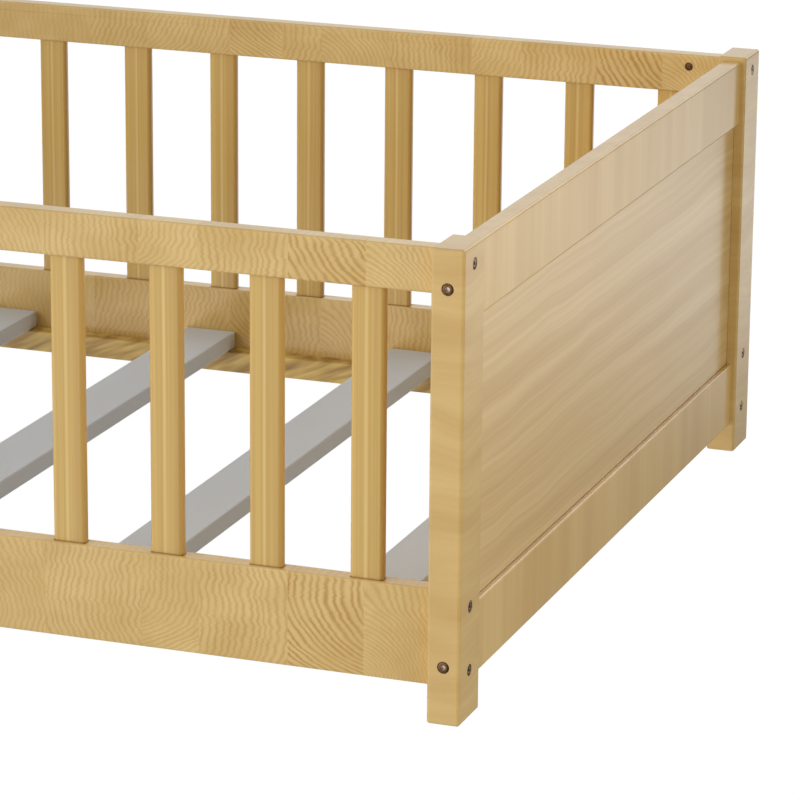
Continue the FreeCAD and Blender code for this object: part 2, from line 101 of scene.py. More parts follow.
def from_srgb(red, green, blue):
    """A colour as it looks on a screen, 0 to 255, as the renderer's linear values."""
    def channel(value):
        share = value / 255
        return share / 12.92 if share <= 0.04045 else ((share + 0.055) / 1.055) ** 2.4
    return channel(red), channel(green), channel(blue), 1.0


class Finish(NodeTree):
    """A material under construction: its node tree, its shader and its object coordinates."""

    def __init__(self, name, shine):
        self.material = bpy.data.materials.new(name)
        self.material.use_nodes = True
        super().__init__(self.material.node_tree)
        self.shader = self.tree.nodes["Principled BSDF"]
        self.paint("Specular IOR Level", shine)
        self.place = self.add("ShaderNodeTexCoord").outputs["Object"]

    def paint(self, name, value):
        """Feed one of the shader's own inputs."""
        self.feed(self.shader.inputs[name], value)

    def noise(self, scale, detail, roughness=0.55, vector=None):
        """Cloudy values round a middle, stretched by giving each axis its own scale per metre."""
        stretched = self.add("ShaderNodeMapping", {"Vector": vector or self.place, "Scale": scale})
        inputs = {"Vector": stretched.outputs["Vector"], "Scale": 1.0, "Detail": detail,
                  "Roughness": roughness}
        return self.add("ShaderNodeTexNoise", inputs).outputs["Fac"]

    def streaks(self, scale, detail, roughness=0.55, vector=None, low=0.20, high=0.80):
        """Noise with its range from low to high stretched to run from 0 to 1."""
        return self.spread(self.noise(scale, detail, roughness, vector), low, high)

    def sway(self, value, noise, reach):
        """Push a value up and down by a noise, by half the reach each way."""
        return self.calc("MULTIPLY_ADD", self.calc("SUBTRACT", noise, NOISE_MIDDLE), reach, value)

    def mix(self, factor, first, second):
        node = self.add("ShaderNodeMix", data_type="RGBA")
        first_colour, second_colour = [socket for socket in node.inputs if socket.type == "RGBA"]
        self.feed(node.inputs["Factor"], factor)
        self.feed(first_colour, first)
        self.feed(second_colour, second)
        return next(socket for socket in node.outputs if socket.type == "RGBA")

    def tint(self, colour, other, mask, strength):
        """Blend another colour in where a mask says, as strongly as given."""
        return self.mix(self.calc("MULTIPLY", mask, strength), colour, other)

    def steps(self, value, starts, colours):
        """Four values that change in steps: each start has a colour that holds up to the next."""
        node = self.add("ShaderNodeValToRGB", {"Fac": value})
        ramp = node.color_ramp
        ramp.interpolation = "CONSTANT"
        ramp.elements.remove(ramp.elements[-1])
        for number, (start, colour) in enumerate(zip(starts, colours)):
            element = ramp.elements.new(start) if number else ramp.elements[0]
            element.color = colour
        parts = self.add("ShaderNodeSeparateColor", {"Color": node.outputs["Color"]}).outputs
        return parts["Red"], parts["Green"], parts["Blue"], node.outputs["Alpha"]

    def bump(self, height, strength, distance):
        node = self.add("ShaderNodeBump", {"Height": height, "Strength": strength, "Distance": distance})
        self.paint("Normal", node.outputs["Normal"])


# Lacquered pine

PINE_DEEP = from_srgb(189, 148, 80)
PINE_LINE = from_srgb(187, 140, 66)
# The brown of the painted shade just above joints
JOINT_SHADE_BROWN = from_srgb(120, 82, 40)
PINE_SHINE = 0.5
PINE_ROUGH = 0.215
GRAIN_ROUGHER = 0.03
SMEAR_REACH = 0.02
GRAIN_RELIEF = 0.03
GRAIN_DEPTH = 0.2 * MILLIMETRE
# The painted shade just above joints: how dark it is, where it is full and where it is gone
JOINT_SHADE_DARK = 0.60
JOINT_SHADE_FULL = 0.4 * MILLIMETRE
JOINT_SHADE_GONE = 2.0 * MILLIMETRE


def lacquer(finish, grain):
    """Satin lacquer, a little duller and lower along the grain."""
    smear = finish.noise((35, 35, 35), detail=2.0)
    dulled = finish.calc("MULTIPLY_ADD", grain, GRAIN_ROUGHER, PINE_ROUGH)
    finish.paint("Roughness", finish.sway(dulled, smear, SMEAR_REACH))
    finish.bump(grain, GRAIN_RELIEF, GRAIN_DEPTH)


def joint_shade_line(finish, colour, height):
    """Paint shade in a narrow dark line just above the joint with the rail below: a painted contact
    shadow together with the dark of the joint itself.
    """
    _, _, z = finish.split(finish.place)
    painted_shade = finish.spread(z, height + JOINT_SHADE_FULL, height + JOINT_SHADE_GONE, JOINT_SHADE_DARK, 0.0)
    return finish.mix(painted_shade, colour, JOINT_SHADE_BROWN)


# Pine of the long rails

RAIL_PALE = from_srgb(232, 200, 131)
RAIL_TAN = from_srgb(212, 175, 101)


class RailBlock(NamedTuple):
    """A short block that the rails are glued up from, cut across a tree's growth rings.

    The pith is where the rings have their middle: so far right of the block's own middle, and so
    far above the rail's. Boldness is how strongly the rings show, from 0 to 1.
    """
    width: float
    pith_right: float
    pith_up: float
    ring_pitch: float
    boldness: float


# The blocks from a rail's right end to its middle, and then again to its left end
RAIL_BLOCKS = (
    RailBlock(0.073, -0.055, -0.055, 0.0042, 0.48),
    RailBlock(0.082, 0.125, 0.045, 0.0085, 0.98),
    RailBlock(0.100, -0.400, 0.000, 0.0075, 0.54),
    RailBlock(0.066, -0.110, 0.030, 0.0068, 0.42),
    RailBlock(0.1075, 0.350, 0.000, 0.0072, 0.52),
    RailBlock(0.0915, -0.060, -0.030, 0.0060, 0.42),
    RailBlock(0.052, -0.090, 0.000, 0.0080, 0.46),
    RailBlock(0.071, 0.170, 0.100, 0.0075, 0.60),
    RailBlock(0.115, -0.200, 0.060, 0.0070, 0.48),
    RailBlock(0.080, 0.160, -0.080, 0.0065, 0.52),
    RailBlock(0.129, 0.400, 0.020, 0.0065, 0.25),
)
RAIL_RUN = sum(block.width for block in RAIL_BLOCKS)
PITH_REACH = 0.5
RING_PITCH_LIMIT = 0.02
BLOCK_NOISE_STEP = 5.0


class RingWave(NamedTuple):
    """A wave that bends the growth rings: its scales per metre, its detail and how far it bends them."""
    scale: tuple
    detail: float
    reach: float


RING_WAVES = (
    RingWave((7, 7, 16), 1.0, 0.017),
    RingWave((12, 12, 100), 0.0, 0.0075),
    RingWave((40, 40, 320), 1.0, 0.0042),
)
RING_CROWDING = 1.2
RING_CROWDING_SLOPE = -7.0
RING_UNEVEN = 1.1
RING_SHARPNESS = 1.8
RING_STRENGTH = 0.98
FIBRE_STRENGTH = 0.14
SANDED_RINGS = 0.25
SANDED_FROM = 2.5 * MILLIMETRE
SANDED_TO = 0.8 * MILLIMETRE


def rail_blocks(finish, share):
    """Look up the block at a share of the way along: its middle, number, pith, pitch and boldness."""
    starts = []
    places = []
    rings = []
    start = 0.0
    for number, block in enumerate(RAIL_BLOCKS):
        width = block.width / RAIL_RUN
        pith = [(reach + PITH_REACH) / (2 * PITH_REACH) for reach in (block.pith_right, block.pith_up)]
        starts.append(start)
        places.append((start + width / 2, number / len(RAIL_BLOCKS), 0.0, 1.0))
        rings.append((*pith, block.ring_pitch / RING_PITCH_LIMIT, block.boldness))
        start += width
    middle, number, _, _ = finish.steps(share, starts, places)
    right, up, pitch, boldness = finish.steps(share, starts, rings)
    pith = [finish.calc("MULTIPLY_ADD", part, 2 * PITH_REACH, -PITH_REACH) for part in (right, up)]
    return middle, number, pith, finish.calc("MULTIPLY", pitch, RING_PITCH_LIMIT), boldness


def ring_pine(name, node_name):
    """A rail glued up from short blocks, whose growth rings cross its face as wavy lines."""
    low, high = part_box(node_name)
    finish = Finish(name, PINE_SHINE)
    x, y, z = finish.split(finish.place)
    height = finish.calc("SUBTRACT", z, (low[2] + high[2]) / 2)
    from_right = finish.calc("WRAP", finish.calc("SUBTRACT", high[0], x), RAIL_RUN, 0.0)
    share = finish.calc("DIVIDE", from_right, RAIL_RUN)
    middle, number, pith, pitch, boldness = rail_blocks(finish, share)
    own_place = finish.join(x, finish.calc("MULTIPLY_ADD", number, BLOCK_NOISE_STEP, y), z)

    across = finish.calc("MULTIPLY", finish.calc("SUBTRACT", middle, share), RAIL_RUN)
    for wave in RING_WAVES:
        across = finish.sway(across, finish.noise(wave.scale, wave.detail, vector=own_place), wave.reach)
    crowding = finish.calc("MULTIPLY_ADD", height, RING_CROWDING_SLOPE, RING_CROWDING)
    rise = finish.calc("MULTIPLY", finish.calc("SUBTRACT", height, pith[1]), crowding)
    rings = finish.measure("DISTANCE", finish.join(across, rise), finish.join(pith[0]))
    uneven = finish.noise((55, 55, 55), detail=1.0, vector=finish.join(rings, number))
    years = finish.sway(finish.calc("DIVIDE", rings, pitch), uneven, RING_UNEVEN)
    swing = finish.calc("COSINE", finish.calc("MULTIPLY", years, math.tau))
    late = finish.calc("POWER", finish.calc("MULTIPLY_ADD", swing, 0.5, 0.5), RING_SHARPNESS)
    broken = finish.spread(finish.noise((30, 30, 50), detail=2.0), 0.25, 0.70, to_low=0.55)
    line = finish.calc("MULTIPLY", finish.calc("MULTIPLY", late, broken), boldness)
    sanded_top = finish.spread(z, high[2] - SANDED_FROM, high[2] - SANDED_TO, 1.0, SANDED_RINGS)
    line = finish.calc("MULTIPLY", line, sanded_top)

    cloud = finish.streaks((11, 11, 16), detail=3.0, vector=own_place)
    fibre = finish.streaks((520, 520, 60), detail=2.0)
    colour = finish.mix(cloud, RAIL_PALE, RAIL_TAN)
    colour = finish.tint(colour, PINE_LINE, fibre, FIBRE_STRENGTH)
    finish.paint("Base Color", finish.tint(colour, PINE_LINE, line, RING_STRENGTH))
    lacquer(finish, line)
    return finish.material


# Pine of the posts, ends, cleats and dowels

class Grain(NamedTuple):
    """Straight grain: broad soft streaks with fine fibres in them.

    broad and fine are the streaks' scales per metre along each axis, wander is how far they stray,
    contrast and fibre_contrast are how strongly they show, and slant is how much they climb along
    the bed. pale and deep are the streaks' two colours.
    """
    broad: tuple
    fine: tuple
    wander: float
    contrast: float
    fibre_contrast: float
    pale: tuple
    deep: tuple
    slant: float = 0.0


POST_GRAIN = Grain(
    broad=(4, 4, 26), fine=(10, 10, 200), wander=0.05, contrast=0.60, fibre_contrast=0.20,
    pale=from_srgb(224, 191, 123), deep=from_srgb(194, 152, 83))
PANEL_GRAIN = Grain(
    broad=(30, 1.0, 40), fine=(60, 1.2, 220), wander=0.015, contrast=0.60, fibre_contrast=0.33,
    pale=from_srgb(232, 200, 138), deep=from_srgb(202, 161, 94))
END_RAIL_GRAIN = Grain(
    broad=(30, 17, 1.5), fine=(200, 150, 3.0), wander=0.008, contrast=0.50, fibre_contrast=0.12,
    pale=from_srgb(226, 190, 121), deep=from_srgb(194, 151, 81))
CLEAT_GRAIN = Grain(
    broad=(14, 40, 95), fine=(30, 200, 300), wander=0.02, contrast=1.0, fibre_contrast=0.25,
    pale=from_srgb(238, 204, 110), deep=from_srgb(142, 98, 24), slant=0.45)
DOWEL_GRAIN = Grain(
    broad=(60, 60, 60), fine=(300, 300, 300), wander=0.0, contrast=0.4, fibre_contrast=0.2,
    pale=from_srgb(220, 186, 119), deep=PINE_DEEP)


def straight_pine(name, grain, shaded_joint=None):
    """A straight grained board, with a dark line of painted shade just above the height of a joint if one
    is given.
    """
    finish = Finish(name, PINE_SHINE)
    x, y, z = finish.split(finish.place)
    drift = finish.noise((7, 7, 7), detail=1.0)
    y, z = [finish.sway(axis, drift, grain.wander) for axis in (y, z)]
    place = finish.join(x, y, finish.calc("MULTIPLY_ADD", x, -grain.slant, z))
    bands = finish.streaks(grain.broad, detail=2.0, roughness=0.5, vector=place)
    fibres = finish.streaks(grain.fine, detail=2.0, roughness=0.5, vector=place)
    colour = finish.tint(grain.pale, grain.deep, bands, grain.contrast)
    colour = finish.tint(colour, PINE_LINE, fibres, grain.fibre_contrast)
    finish.paint("Base Color", colour if shaded_joint is None else joint_shade_line(finish, colour, shaded_joint))
    lacquer(finish, bands)
    return finish.material


# Pine of the spindles

SPINDLE_PALE = from_srgb(224, 188, 105)
SPINDLE_STRIPE = from_srgb(244, 216, 152)
# The deeper orange of the painted shade on the spindles' narrow sides
SPINDLE_SIDE_SHADE = from_srgb(220, 172, 96)
SPINDLE_DRIFT = 3.5 * MILLIMETRE
SPINDLE_NOISE_STEP = 0.7
STRIPE_PLACE = -1.0 * MILLIMETRE
STRIPE_WIDTH = 2.7 * MILLIMETRE
STRIPE_STRENGTH = 0.38
STRIPE_LINE_PLACE = 1.15 * STRIPE_WIDTH
STRIPE_LINE_WIDTH = 1.4 * MILLIMETRE
STRIPE_LINE_STRENGTH = 0.26
# Painted shade toward each spindle's right side: where it starts, where it is full, and how deep
RIGHT_SHADE_FROM = -2.0 * MILLIMETRE
RIGHT_SHADE_TO = 16.0 * MILLIMETRE
RIGHT_SHADE_DEPTH = 0.30
BAND_DEPTH = 0.42
SPINDLE_FIBRES = 0.32
# Painted shade on both narrow sides of each spindle: where it starts, where it is full, and how strong
SIDE_SHADE_FROM = 3.8 * MILLIMETRE
SIDE_SHADE_TO = 0.2 * MILLIMETRE
SIDE_SHADE_STRENGTH = 0.50


def spindle_pine(name, row):
    """Spindles sawn alike from one board: upright grain with a pale stripe down the middle of each."""
    first, second = [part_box(f"spindle_{row}_{number:02d}") for number in (1, 2)]
    pitch = second[0][0] - first[0][0]
    middle = (first[0][0] + first[1][0]) / 2
    half_width = (first[1][0] - first[0][0]) / 2
    finish = Finish(name, PINE_SHINE)
    x, y, z = finish.split(finish.place)
    local = finish.calc("WRAP", finish.calc("SUBTRACT", x, middle), pitch / 2, -pitch / 2)
    which = finish.calc("SUBTRACT", x, local)
    drift = finish.noise((90, 0, 2.2), detail=1.0, vector=finish.join(which, y, z))
    across = finish.sway(local, drift, SPINDLE_DRIFT)
    grain = finish.join(across, finish.calc("MULTIPLY_ADD", which, SPINDLE_NOISE_STEP, y), z)
    bands = finish.streaks((150, 90, 1.4), detail=2.0, roughness=0.5, vector=grain)
    fibres = finish.streaks((340, 200, 1.8), detail=2.0, roughness=0.6, vector=grain, low=0.28, high=0.72)

    away = finish.calc("ABSOLUTE", finish.calc("SUBTRACT", across, STRIPE_PLACE))
    stripe = finish.spread(away, 0.0, STRIPE_WIDTH, 1.0, 0.0)
    from_line = finish.calc("ABSOLUTE", finish.calc("SUBTRACT", away, STRIPE_LINE_PLACE))
    stripe_line = finish.spread(from_line, 0.0, STRIPE_LINE_WIDTH, 1.0, 0.0)
    # Painted shade: the front of each spindle darkens toward its right side
    right_shade = finish.spread(across, RIGHT_SHADE_FROM, RIGHT_SHADE_TO)
    band_depth = finish.calc("MULTIPLY", bands, BAND_DEPTH)
    # The grain's bands and the painted shade on the right side together set how deep the colour is
    depth = finish.calc("MULTIPLY_ADD", right_shade, RIGHT_SHADE_DEPTH, band_depth)
    colour = finish.mix(depth, SPINDLE_PALE, PINE_DEEP)
    colour = finish.tint(colour, PINE_LINE, fibres, SPINDLE_FIBRES)
    colour = finish.tint(colour, PINE_LINE, stripe_line, STRIPE_LINE_STRENGTH)
    colour = finish.tint(colour, SPINDLE_STRIPE, stripe, STRIPE_STRENGTH)
    # Painted shade deepening both narrow sides of each spindle
    from_middle = finish.calc("ABSOLUTE", local)
    edge = finish.spread(from_middle, half_width - SIDE_SHADE_FROM, half_width - SIDE_SHADE_TO, 0.0, SIDE_SHADE_STRENGTH)
    colour = finish.mix(edge, colour, SPINDLE_SIDE_SHADE)
    # A line of painted shade at each spindle's foot, just above the side rail
    rail_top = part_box("side_rail_front")[1][2]
    finish.paint("Base Color", joint_shade_line(finish, colour, rail_top))
    lacquer(finish, bands)
    return finish.material


# Paint and metal

SLAT_PALE = from_srgb(218, 222, 225)
SLAT_GREY = from_srgb(212, 216, 219)
PAINT_SHINE = 0.35
PAINT_ROUGH = 0.52
ROLLER_RELIEF = 0.06
ROLLER_DEPTH = 0.2 * MILLIMETRE
BRONZE_WORN = from_srgb(120, 87, 63)
BRONZE_DARK = from_srgb(88, 61, 43)
# Pale steel in the sockets: wear rubbed through the plating, and a painted glint
BRIGHT_STEEL_GLINT = from_srgb(190, 174, 160)
STEEL_SHINE = 0.5
STEEL_ROUGH = (0.19, 0.25)
RUBBED_GLINT = "rubbed_and_glint"


def slat_paint():
    """Smooth matte grey paint with a faint roller texture."""
    finish = Finish("slat_paint", PAINT_SHINE)
    cloud = finish.streaks((6, 2, 6), detail=3.0, low=0.3, high=0.7)
    finish.paint("Base Color", finish.mix(cloud, SLAT_PALE, SLAT_GREY))
    finish.paint("Roughness", PAINT_ROUGH)
    finish.bump(finish.noise((900, 900, 900), detail=2.0), ROLLER_RELIEF, ROLLER_DEPTH)
    return finish.material


def bronzed_steel():
    """Dark bronze plating, worn paler in places and rubbed through to bright steel in the sockets, whose
    pale colour also paints a glint into each socket.
    """
    finish = Finish("bronzed_steel", STEEL_SHINE)
    cloud = finish.noise((350, 350, 350), detail=3.0)
    colour = finish.mix(finish.spread(cloud, 0.35, 0.70), BRONZE_WORN, BRONZE_DARK)
    rubbed_and_glint = finish.add("ShaderNodeAttribute", attribute_name=RUBBED_GLINT).outputs["Fac"]
    finish.paint("Base Color", finish.mix(rubbed_and_glint, colour, BRIGHT_STEEL_GLINT))
    finish.paint("Metallic", 1.0)
    finish.paint("Roughness", finish.spread(cloud, 0.3, 0.7, *STEEL_ROUGH))
    return finish.material


# Building bolts and nuts

RIM_STEPS = 4
SHARP_ANGLE = 30


class Recipe(NodeTree):
    """A geometry node tree under construction, with a named input for each of its sizes."""

    def __init__(self, name, sizes):
        super().__init__(bpy.data.node_groups.new(name, "GeometryNodeTree"))
        self.sockets = {}
        self.new_socket("Places", "NodeSocketGeometry")
        for size in sizes:
            self.new_socket(size, "NodeSocketFloat")
        self.new_socket("Finish", "NodeSocketMaterial")
        self.tree.interface.new_socket("Pieces", in_out="OUTPUT", socket_type="NodeSocketGeometry")
        self.given = self.tree.nodes.new("NodeGroupInput").outputs

    def new_socket(self, name, kind):
        self.sockets[name] = self.tree.interface.new_socket(name, in_out="INPUT", socket_type=kind)

    def half(self, value):
        return self.calc("DIVIDE", value, 2.0)

    def double(self, value):
        return self.calc("MULTIPLY", value, 2.0)

    def lift(self, mesh, height, turn=(0.0, 0.0, 0.0)):
        """Turn a mesh about the origin and move it up."""
        inputs = {"Geometry": mesh, "Translation": self.join(z=height), "Rotation": turn}
        return self.add("GeometryNodeTransform", inputs).outputs["Geometry"]

    def sink(self, mesh, depth, turn=(0.0, 0.0, 0.0)):
        return self.lift(mesh, self.calc("MULTIPLY", depth, -1.0), turn)

    def cylinder(self, sides, size, depth):
        """An upright cylinder about the origin, with its top selected."""
        inputs = {"Vertices": sides, "Radius": self.half(size), "Depth": depth}
        node = self.add("GeometryNodeMeshCylinder", inputs, fill_type="NGON")
        return node.outputs["Mesh"], node.outputs["Top"]

    def attribute(self, name):
        node = self.add("GeometryNodeInputNamedAttribute", {"Name": name}, data_type="FLOAT_VECTOR")
        return node.outputs["Attribute"]

    def cut(self, mesh, tool):
        inputs = {"Mesh 1": mesh, "Mesh 2": tool}
        node = self.add("GeometryNodeMeshBoolean", inputs, operation="DIFFERENCE", solver="EXACT")
        return node.outputs["Mesh"]

    def rounded_disc(self, size, tall, rim, sides):
        """A disc hanging below the XY plane, its upper edge rounded off by the rim's radius."""
        radius = self.half(size)
        straight = self.calc("SUBTRACT", tall, rim)
        mesh, top = self.cylinder(sides, size, straight)
        mesh = self.lift(mesh, self.half(straight))
        for step in range(RIM_STEPS):
            start = math.pi / 2 * step / RIM_STEPS
            end = math.pi / 2 * (step + 1) / RIM_STEPS
            rise = self.calc("MULTIPLY", rim, math.sin(end) - math.sin(start))
            wide = self.calc("SUBTRACT", radius, self.calc("MULTIPLY", rim, 1 - math.cos(start)))
            narrow = self.calc("SUBTRACT", radius, self.calc("MULTIPLY", rim, 1 - math.cos(end)))
            inputs = {"Mesh": mesh, "Selection": top, "Offset Scale": rise}
            raised = self.add("GeometryNodeExtrudeMesh", inputs, mode="FACES")
            top = raised.outputs["Top"]
            inputs = {"Geometry": raised.outputs["Mesh"], "Selection": top,
                      "Scale": self.calc("DIVIDE", narrow, wide)}
            mesh = self.add("GeometryNodeScaleElements", inputs).outputs["Geometry"]
        return self.sink(mesh, tall)

    def mark_rubbed_glint(self, mesh, radius, deep):
        """Mark the faces of a socket sunk into the XY plane as rubbed bright by the key, a pale colour
        that also paints a glint into the socket.
        """
        slack = 0.05 * MILLIMETRE
        position = self.add("GeometryNodeInputPosition").outputs["Position"]
        x, y, z = self.split(position)
        depth = self.calc("MULTIPLY", z, -1.0)
        inside = self.calc("LESS_THAN", self.measure("LENGTH", self.join(x, y)), radius)
        below = self.calc("GREATER_THAN", depth, slack)
        above = self.calc("LESS_THAN", depth, self.calc("ADD", deep, slack))
        marked = self.calc("MULTIPLY", inside, self.calc("MULTIPLY", below, above))
        inputs = {"Geometry": mesh, "Name": RUBBED_GLINT, "Value": marked}
        node = self.add("GeometryNodeStoreNamedAttribute", inputs, domain="FACE", data_type="FLOAT")
        return node.outputs["Geometry"]

    def end_with(self, piece):
        """Set a copy of the piece at each place, its Z axis outward and its X axis across."""
        inputs = {"Primary Axis": self.attribute("outward"), "Secondary Axis": self.attribute("across")}
        turn = self.add("FunctionNodeAxesToRotation", inputs, primary_axis="Z", secondary_axis="X")
        inputs = {"Points": self.given["Places"], "Instance": piece, "Rotation": turn.outputs["Rotation"]}
        copies = self.add("GeometryNodeInstanceOnPoints", inputs)
        real = self.add("GeometryNodeRealizeInstances", {"Geometry": copies.outputs["Instances"]})
        inputs = {"Geometry": real.outputs["Geometry"], "Material": self.given["Finish"]}
        dressed = self.add("GeometryNodeSetMaterial", inputs)
        self.add("NodeGroupOutput", {"Pieces": dressed.outputs["Geometry"]})

    def make(self, name, places, sizes, finish):
        """Run the recipe on a list of places and return its result as a plain mesh object."""
        mesh = bpy.data.meshes.new(name)
        mesh.from_pydata([place.point for place in places], [], [])
        for label in ("outward", "across"):
            layer = mesh.attributes.new(label, "FLOAT_VECTOR", "POINT")
            for item, place in zip(layer.data, places):
                item.vector = getattr(place, label)
        piece = bpy.data.objects.new(name, mesh)
        bpy.context.scene.collection.objects.link(piece)
        modifier = piece.modifiers.new(name, "NODES")
        modifier.node_group = self.tree
        for label, value in sizes.items():
            modifier[self.sockets[label].identifier] = value
        modifier[self.sockets["Finish"].identifier] = finish
        graph = bpy.context.evaluated_depsgraph_get()
        made = bpy.data.meshes.new_from_object(piece.evaluated_get(graph), depsgraph=graph)
        piece.modifiers.clear()
        piece.data = made
        made.shade_smooth()
        made.set_sharp_from_angle(angle=math.radians(SHARP_ANGLE))
        return piece


class Place(NamedTuple):
    """Where a bolt or nut sits: the middle of its outer end, and the directions outward and across."""
    point: Vector
    outward: Vector
    across: Vector


SAME_POINT = 0.01 * MILLIMETRE
PLACE_DIGITS = 4
LENGTH_DIGITS = 5


def solids_of(node_name):
    """The lowest and highest corners of each separate solid in a CAD node."""
    copy = bmesh.new()
    copy.from_mesh(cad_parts[node_name].data)
    bmesh.ops.remove_doubles(copy, verts=copy.verts, dist=SAME_POINT)
    left = set(copy.verts)
    boxes = []
    while left:
        reached = [left.pop()]
        for vertex in reached:
            for edge in vertex.link_edges:
                other = edge.other_vert(vertex)
                if other in left:
                    left.remove(other)
                    reached.append(other)
        low = Vector([min(vertex.co[axis] for vertex in reached) for axis in range(3)])
        high = Vector([max(vertex.co[axis] for vertex in reached) for axis in range(3)])
        boxes.append((low, high))
    copy.free()
    return sorted(boxes, key=lambda box: tuple(round(value, PLACE_DIGITS) for value in box[0]))


def long_axis(low, high):
    return max(range(3), key=lambda axis: high[axis] - low[axis])


def unit(axis, sign):
    direction = Vector((0.0, 0.0, 0.0))
    direction[axis] = sign
    return direction


def end_point(low, high, axis, sign):
    """The middle of a solid's end along one of its axes."""
    point = (low + high) / 2
    point[axis] = high[axis] if sign > 0 else low[axis]
    return point


def in_metres(sizes):
    return {label: value * MILLIMETRE for label, value in sizes.items()}


# Bolts

BOLT_SIZES = {"Head Size": 12.0, "Head Tall": 2.6, "Rim": 0.8, "Socket Flats": 4.0, "Socket Deep": 1.8,
              "Socket Bevel": 0.3, "Shank Size": 6.0}
HEAD_SIDES = 40
HEXAGON_SIDES = 6
BEVEL_SIDES = 24
SHANK_SIDES = 16


def bolt_recipe():
    """A socket head bolt: its head's top at the place given, its shank running away below."""
    recipe = Recipe("bolt", [*BOLT_SIZES, "Shank Long"])
    given = recipe.given
    head = recipe.rounded_disc(given["Head Size"], given["Head Tall"], given["Rim"], HEAD_SIDES)
    across_corners = recipe.calc("DIVIDE", given["Socket Flats"], math.cos(math.pi / HEXAGON_SIDES))
    hexagon, _ = recipe.cylinder(HEXAGON_SIDES, across_corners, recipe.double(given["Socket Deep"]))
    head = recipe.cut(head, hexagon)
    corner = recipe.half(across_corners)
    bevel = given["Socket Bevel"]
    mouth = recipe.calc("ADD", corner, bevel)
    inputs = {"Vertices": BEVEL_SIDES, "Radius Top": mouth, "Radius Bottom": corner, "Depth": bevel}
    countersink = recipe.add("GeometryNodeMeshCone", inputs).outputs["Mesh"]
    head = recipe.cut(head, recipe.sink(countersink, bevel))
    # The socket's floor and walls get the pale steel: rubbed wear and a painted glint
    head = recipe.mark_rubbed_glint(head, mouth, given["Socket Deep"])
    shank, _ = recipe.cylinder(SHANK_SIDES, given["Shank Size"], given["Shank Long"])
    shank = recipe.sink(shank, recipe.calc("ADD", given["Head Tall"], recipe.half(given["Shank Long"])))
    whole = recipe.add("GeometryNodeJoinGeometry")
    for mesh in (head, shank):
        recipe.feed(whole.inputs["Geometry"], mesh)
    recipe.end_with(whole.outputs["Geometry"])
    return recipe


def make_bolts(finish):
    """Replace the plain bolts: heads outwards at each post, with rounded rims and hexagon sockets."""
    recipe = bolt_recipe()
    groups = {}
    for low, high in solids_of("bolts"):
        axis = long_axis(low, high)
        sign = math.copysign(1.0, low[axis] + high[axis])
        place = Place(end_point(low, high, axis, sign), unit(axis, sign), unit(2, 1.0))
        groups.setdefault(round(high[axis] - low[axis], LENGTH_DIGITS), []).append(place)
    pieces = []
    for length, places in sorted(groups.items()):
        sizes = in_metres(BOLT_SIZES)
        sizes["Shank Long"] = length - sizes["Head Tall"]
        pieces.append(recipe.make(f"bolts_{round(length / MILLIMETRE)}_long", places, sizes, finish))
    return pieces


# Barrel nuts

NUT_SIZES = {"Nut Size": 10.0, "Nut Long": 18.0, "Nut Rim": 0.6, "Hole Size": 6.2, "Slot Wide": 1.3,
             "Slot Deep": 1.2}
NUT_SIDES = 36
HOLE_SIDES = 24


def nut_recipe():
    """A barrel nut: its slotted end at the place given, the bolt's hole across it."""
    recipe = Recipe("barrel_nut", list(NUT_SIZES))
    given = recipe.given
    barrel = recipe.rounded_disc(given["Nut Size"], given["Nut Long"], given["Nut Rim"], NUT_SIDES)
    through = recipe.double(given["Nut Size"])
    hole, _ = recipe.cylinder(HOLE_SIDES, given["Hole Size"], through)
    hole = recipe.sink(hole, recipe.half(given["Nut Long"]), turn=(0.0, math.pi / 2, 0.0))
    slot_size = recipe.join(through, given["Slot Wide"], recipe.double(given["Slot Deep"]))
    slot = recipe.add("GeometryNodeMeshCube", {"Size": slot_size}).outputs["Mesh"]
    recipe.end_with(recipe.cut(recipe.cut(barrel, hole), slot))
    return recipe


def make_nuts(finish):
    """Replace the plain barrel nuts: slotted ends to the inside of the bed."""
    places = []
    for low, high in solids_of("barrel_nuts"):
        axis = long_axis(low, high)
        sign = -math.copysign(1.0, low[axis] + high[axis])
        bolt_axis = 1 - axis
        places.append(Place(end_point(low, high, axis, sign), unit(axis, sign), unit(bolt_axis, 1.0)))
    return nut_recipe().make("slotted_barrel_nuts", places, in_metres(NUT_SIZES), finish)


# Dressing the pieces

def dress(prefixes, material):
    """Give the pieces whose names start with one of the prefixes a finish."""
    for name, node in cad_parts.items():
        if name.startswith(prefixes):
            node.data.materials.clear()
            node.data.materials.append(material)


# The top of the end bottom rail: the panel gets a line of painted shade just above it
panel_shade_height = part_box("end_bottom_rail_right")[1][2]
dress(("guard_rail",), ring_pine("guard_rail_pine", "guard_rail_front"))
dress(("side_rail",), ring_pine("side_rail_pine", "side_rail_front"))
dress(("spindle_front",), spindle_pine("front_spindle_pine", "front"))
dress(("spindle_back",), spindle_pine("back_spindle_pine", "back"))
dress(("post",), straight_pine("post_pine", POST_GRAIN))
dress(("end_panel",), straight_pine("panel_pine", PANEL_GRAIN, panel_shade_height))
dress(("end_top_rail", "end_bottom_rail"), straight_pine("end_rail_pine", END_RAIL_GRAIN))
dress(("slat_cleat",), straight_pine("cleat_pine", CLEAT_GRAIN))
dress(tuple(f"slat_{digit}" for digit in range(10)), slat_paint())
dress(("wood_dowels",), straight_pine("dowel_wood", DOWEL_GRAIN))

steel = bronzed_steel()
dress(("cleat_screws",), steel)
for bolt_piece in make_bolts(steel):
    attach(bolt_piece, "root")
    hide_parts("bolts")
nut_piece = make_nuts(steel)
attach(nut_piece, "root")
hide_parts("barrel_nuts")


# Studio

class SkyLight(NamedTuple):
    """A soft round light on the sky: its direction, the angles in degrees where it starts to fade
    and where it is gone, and its strength."""
    direction: tuple
    fades_from: float
    gone_at: float
    strength: float


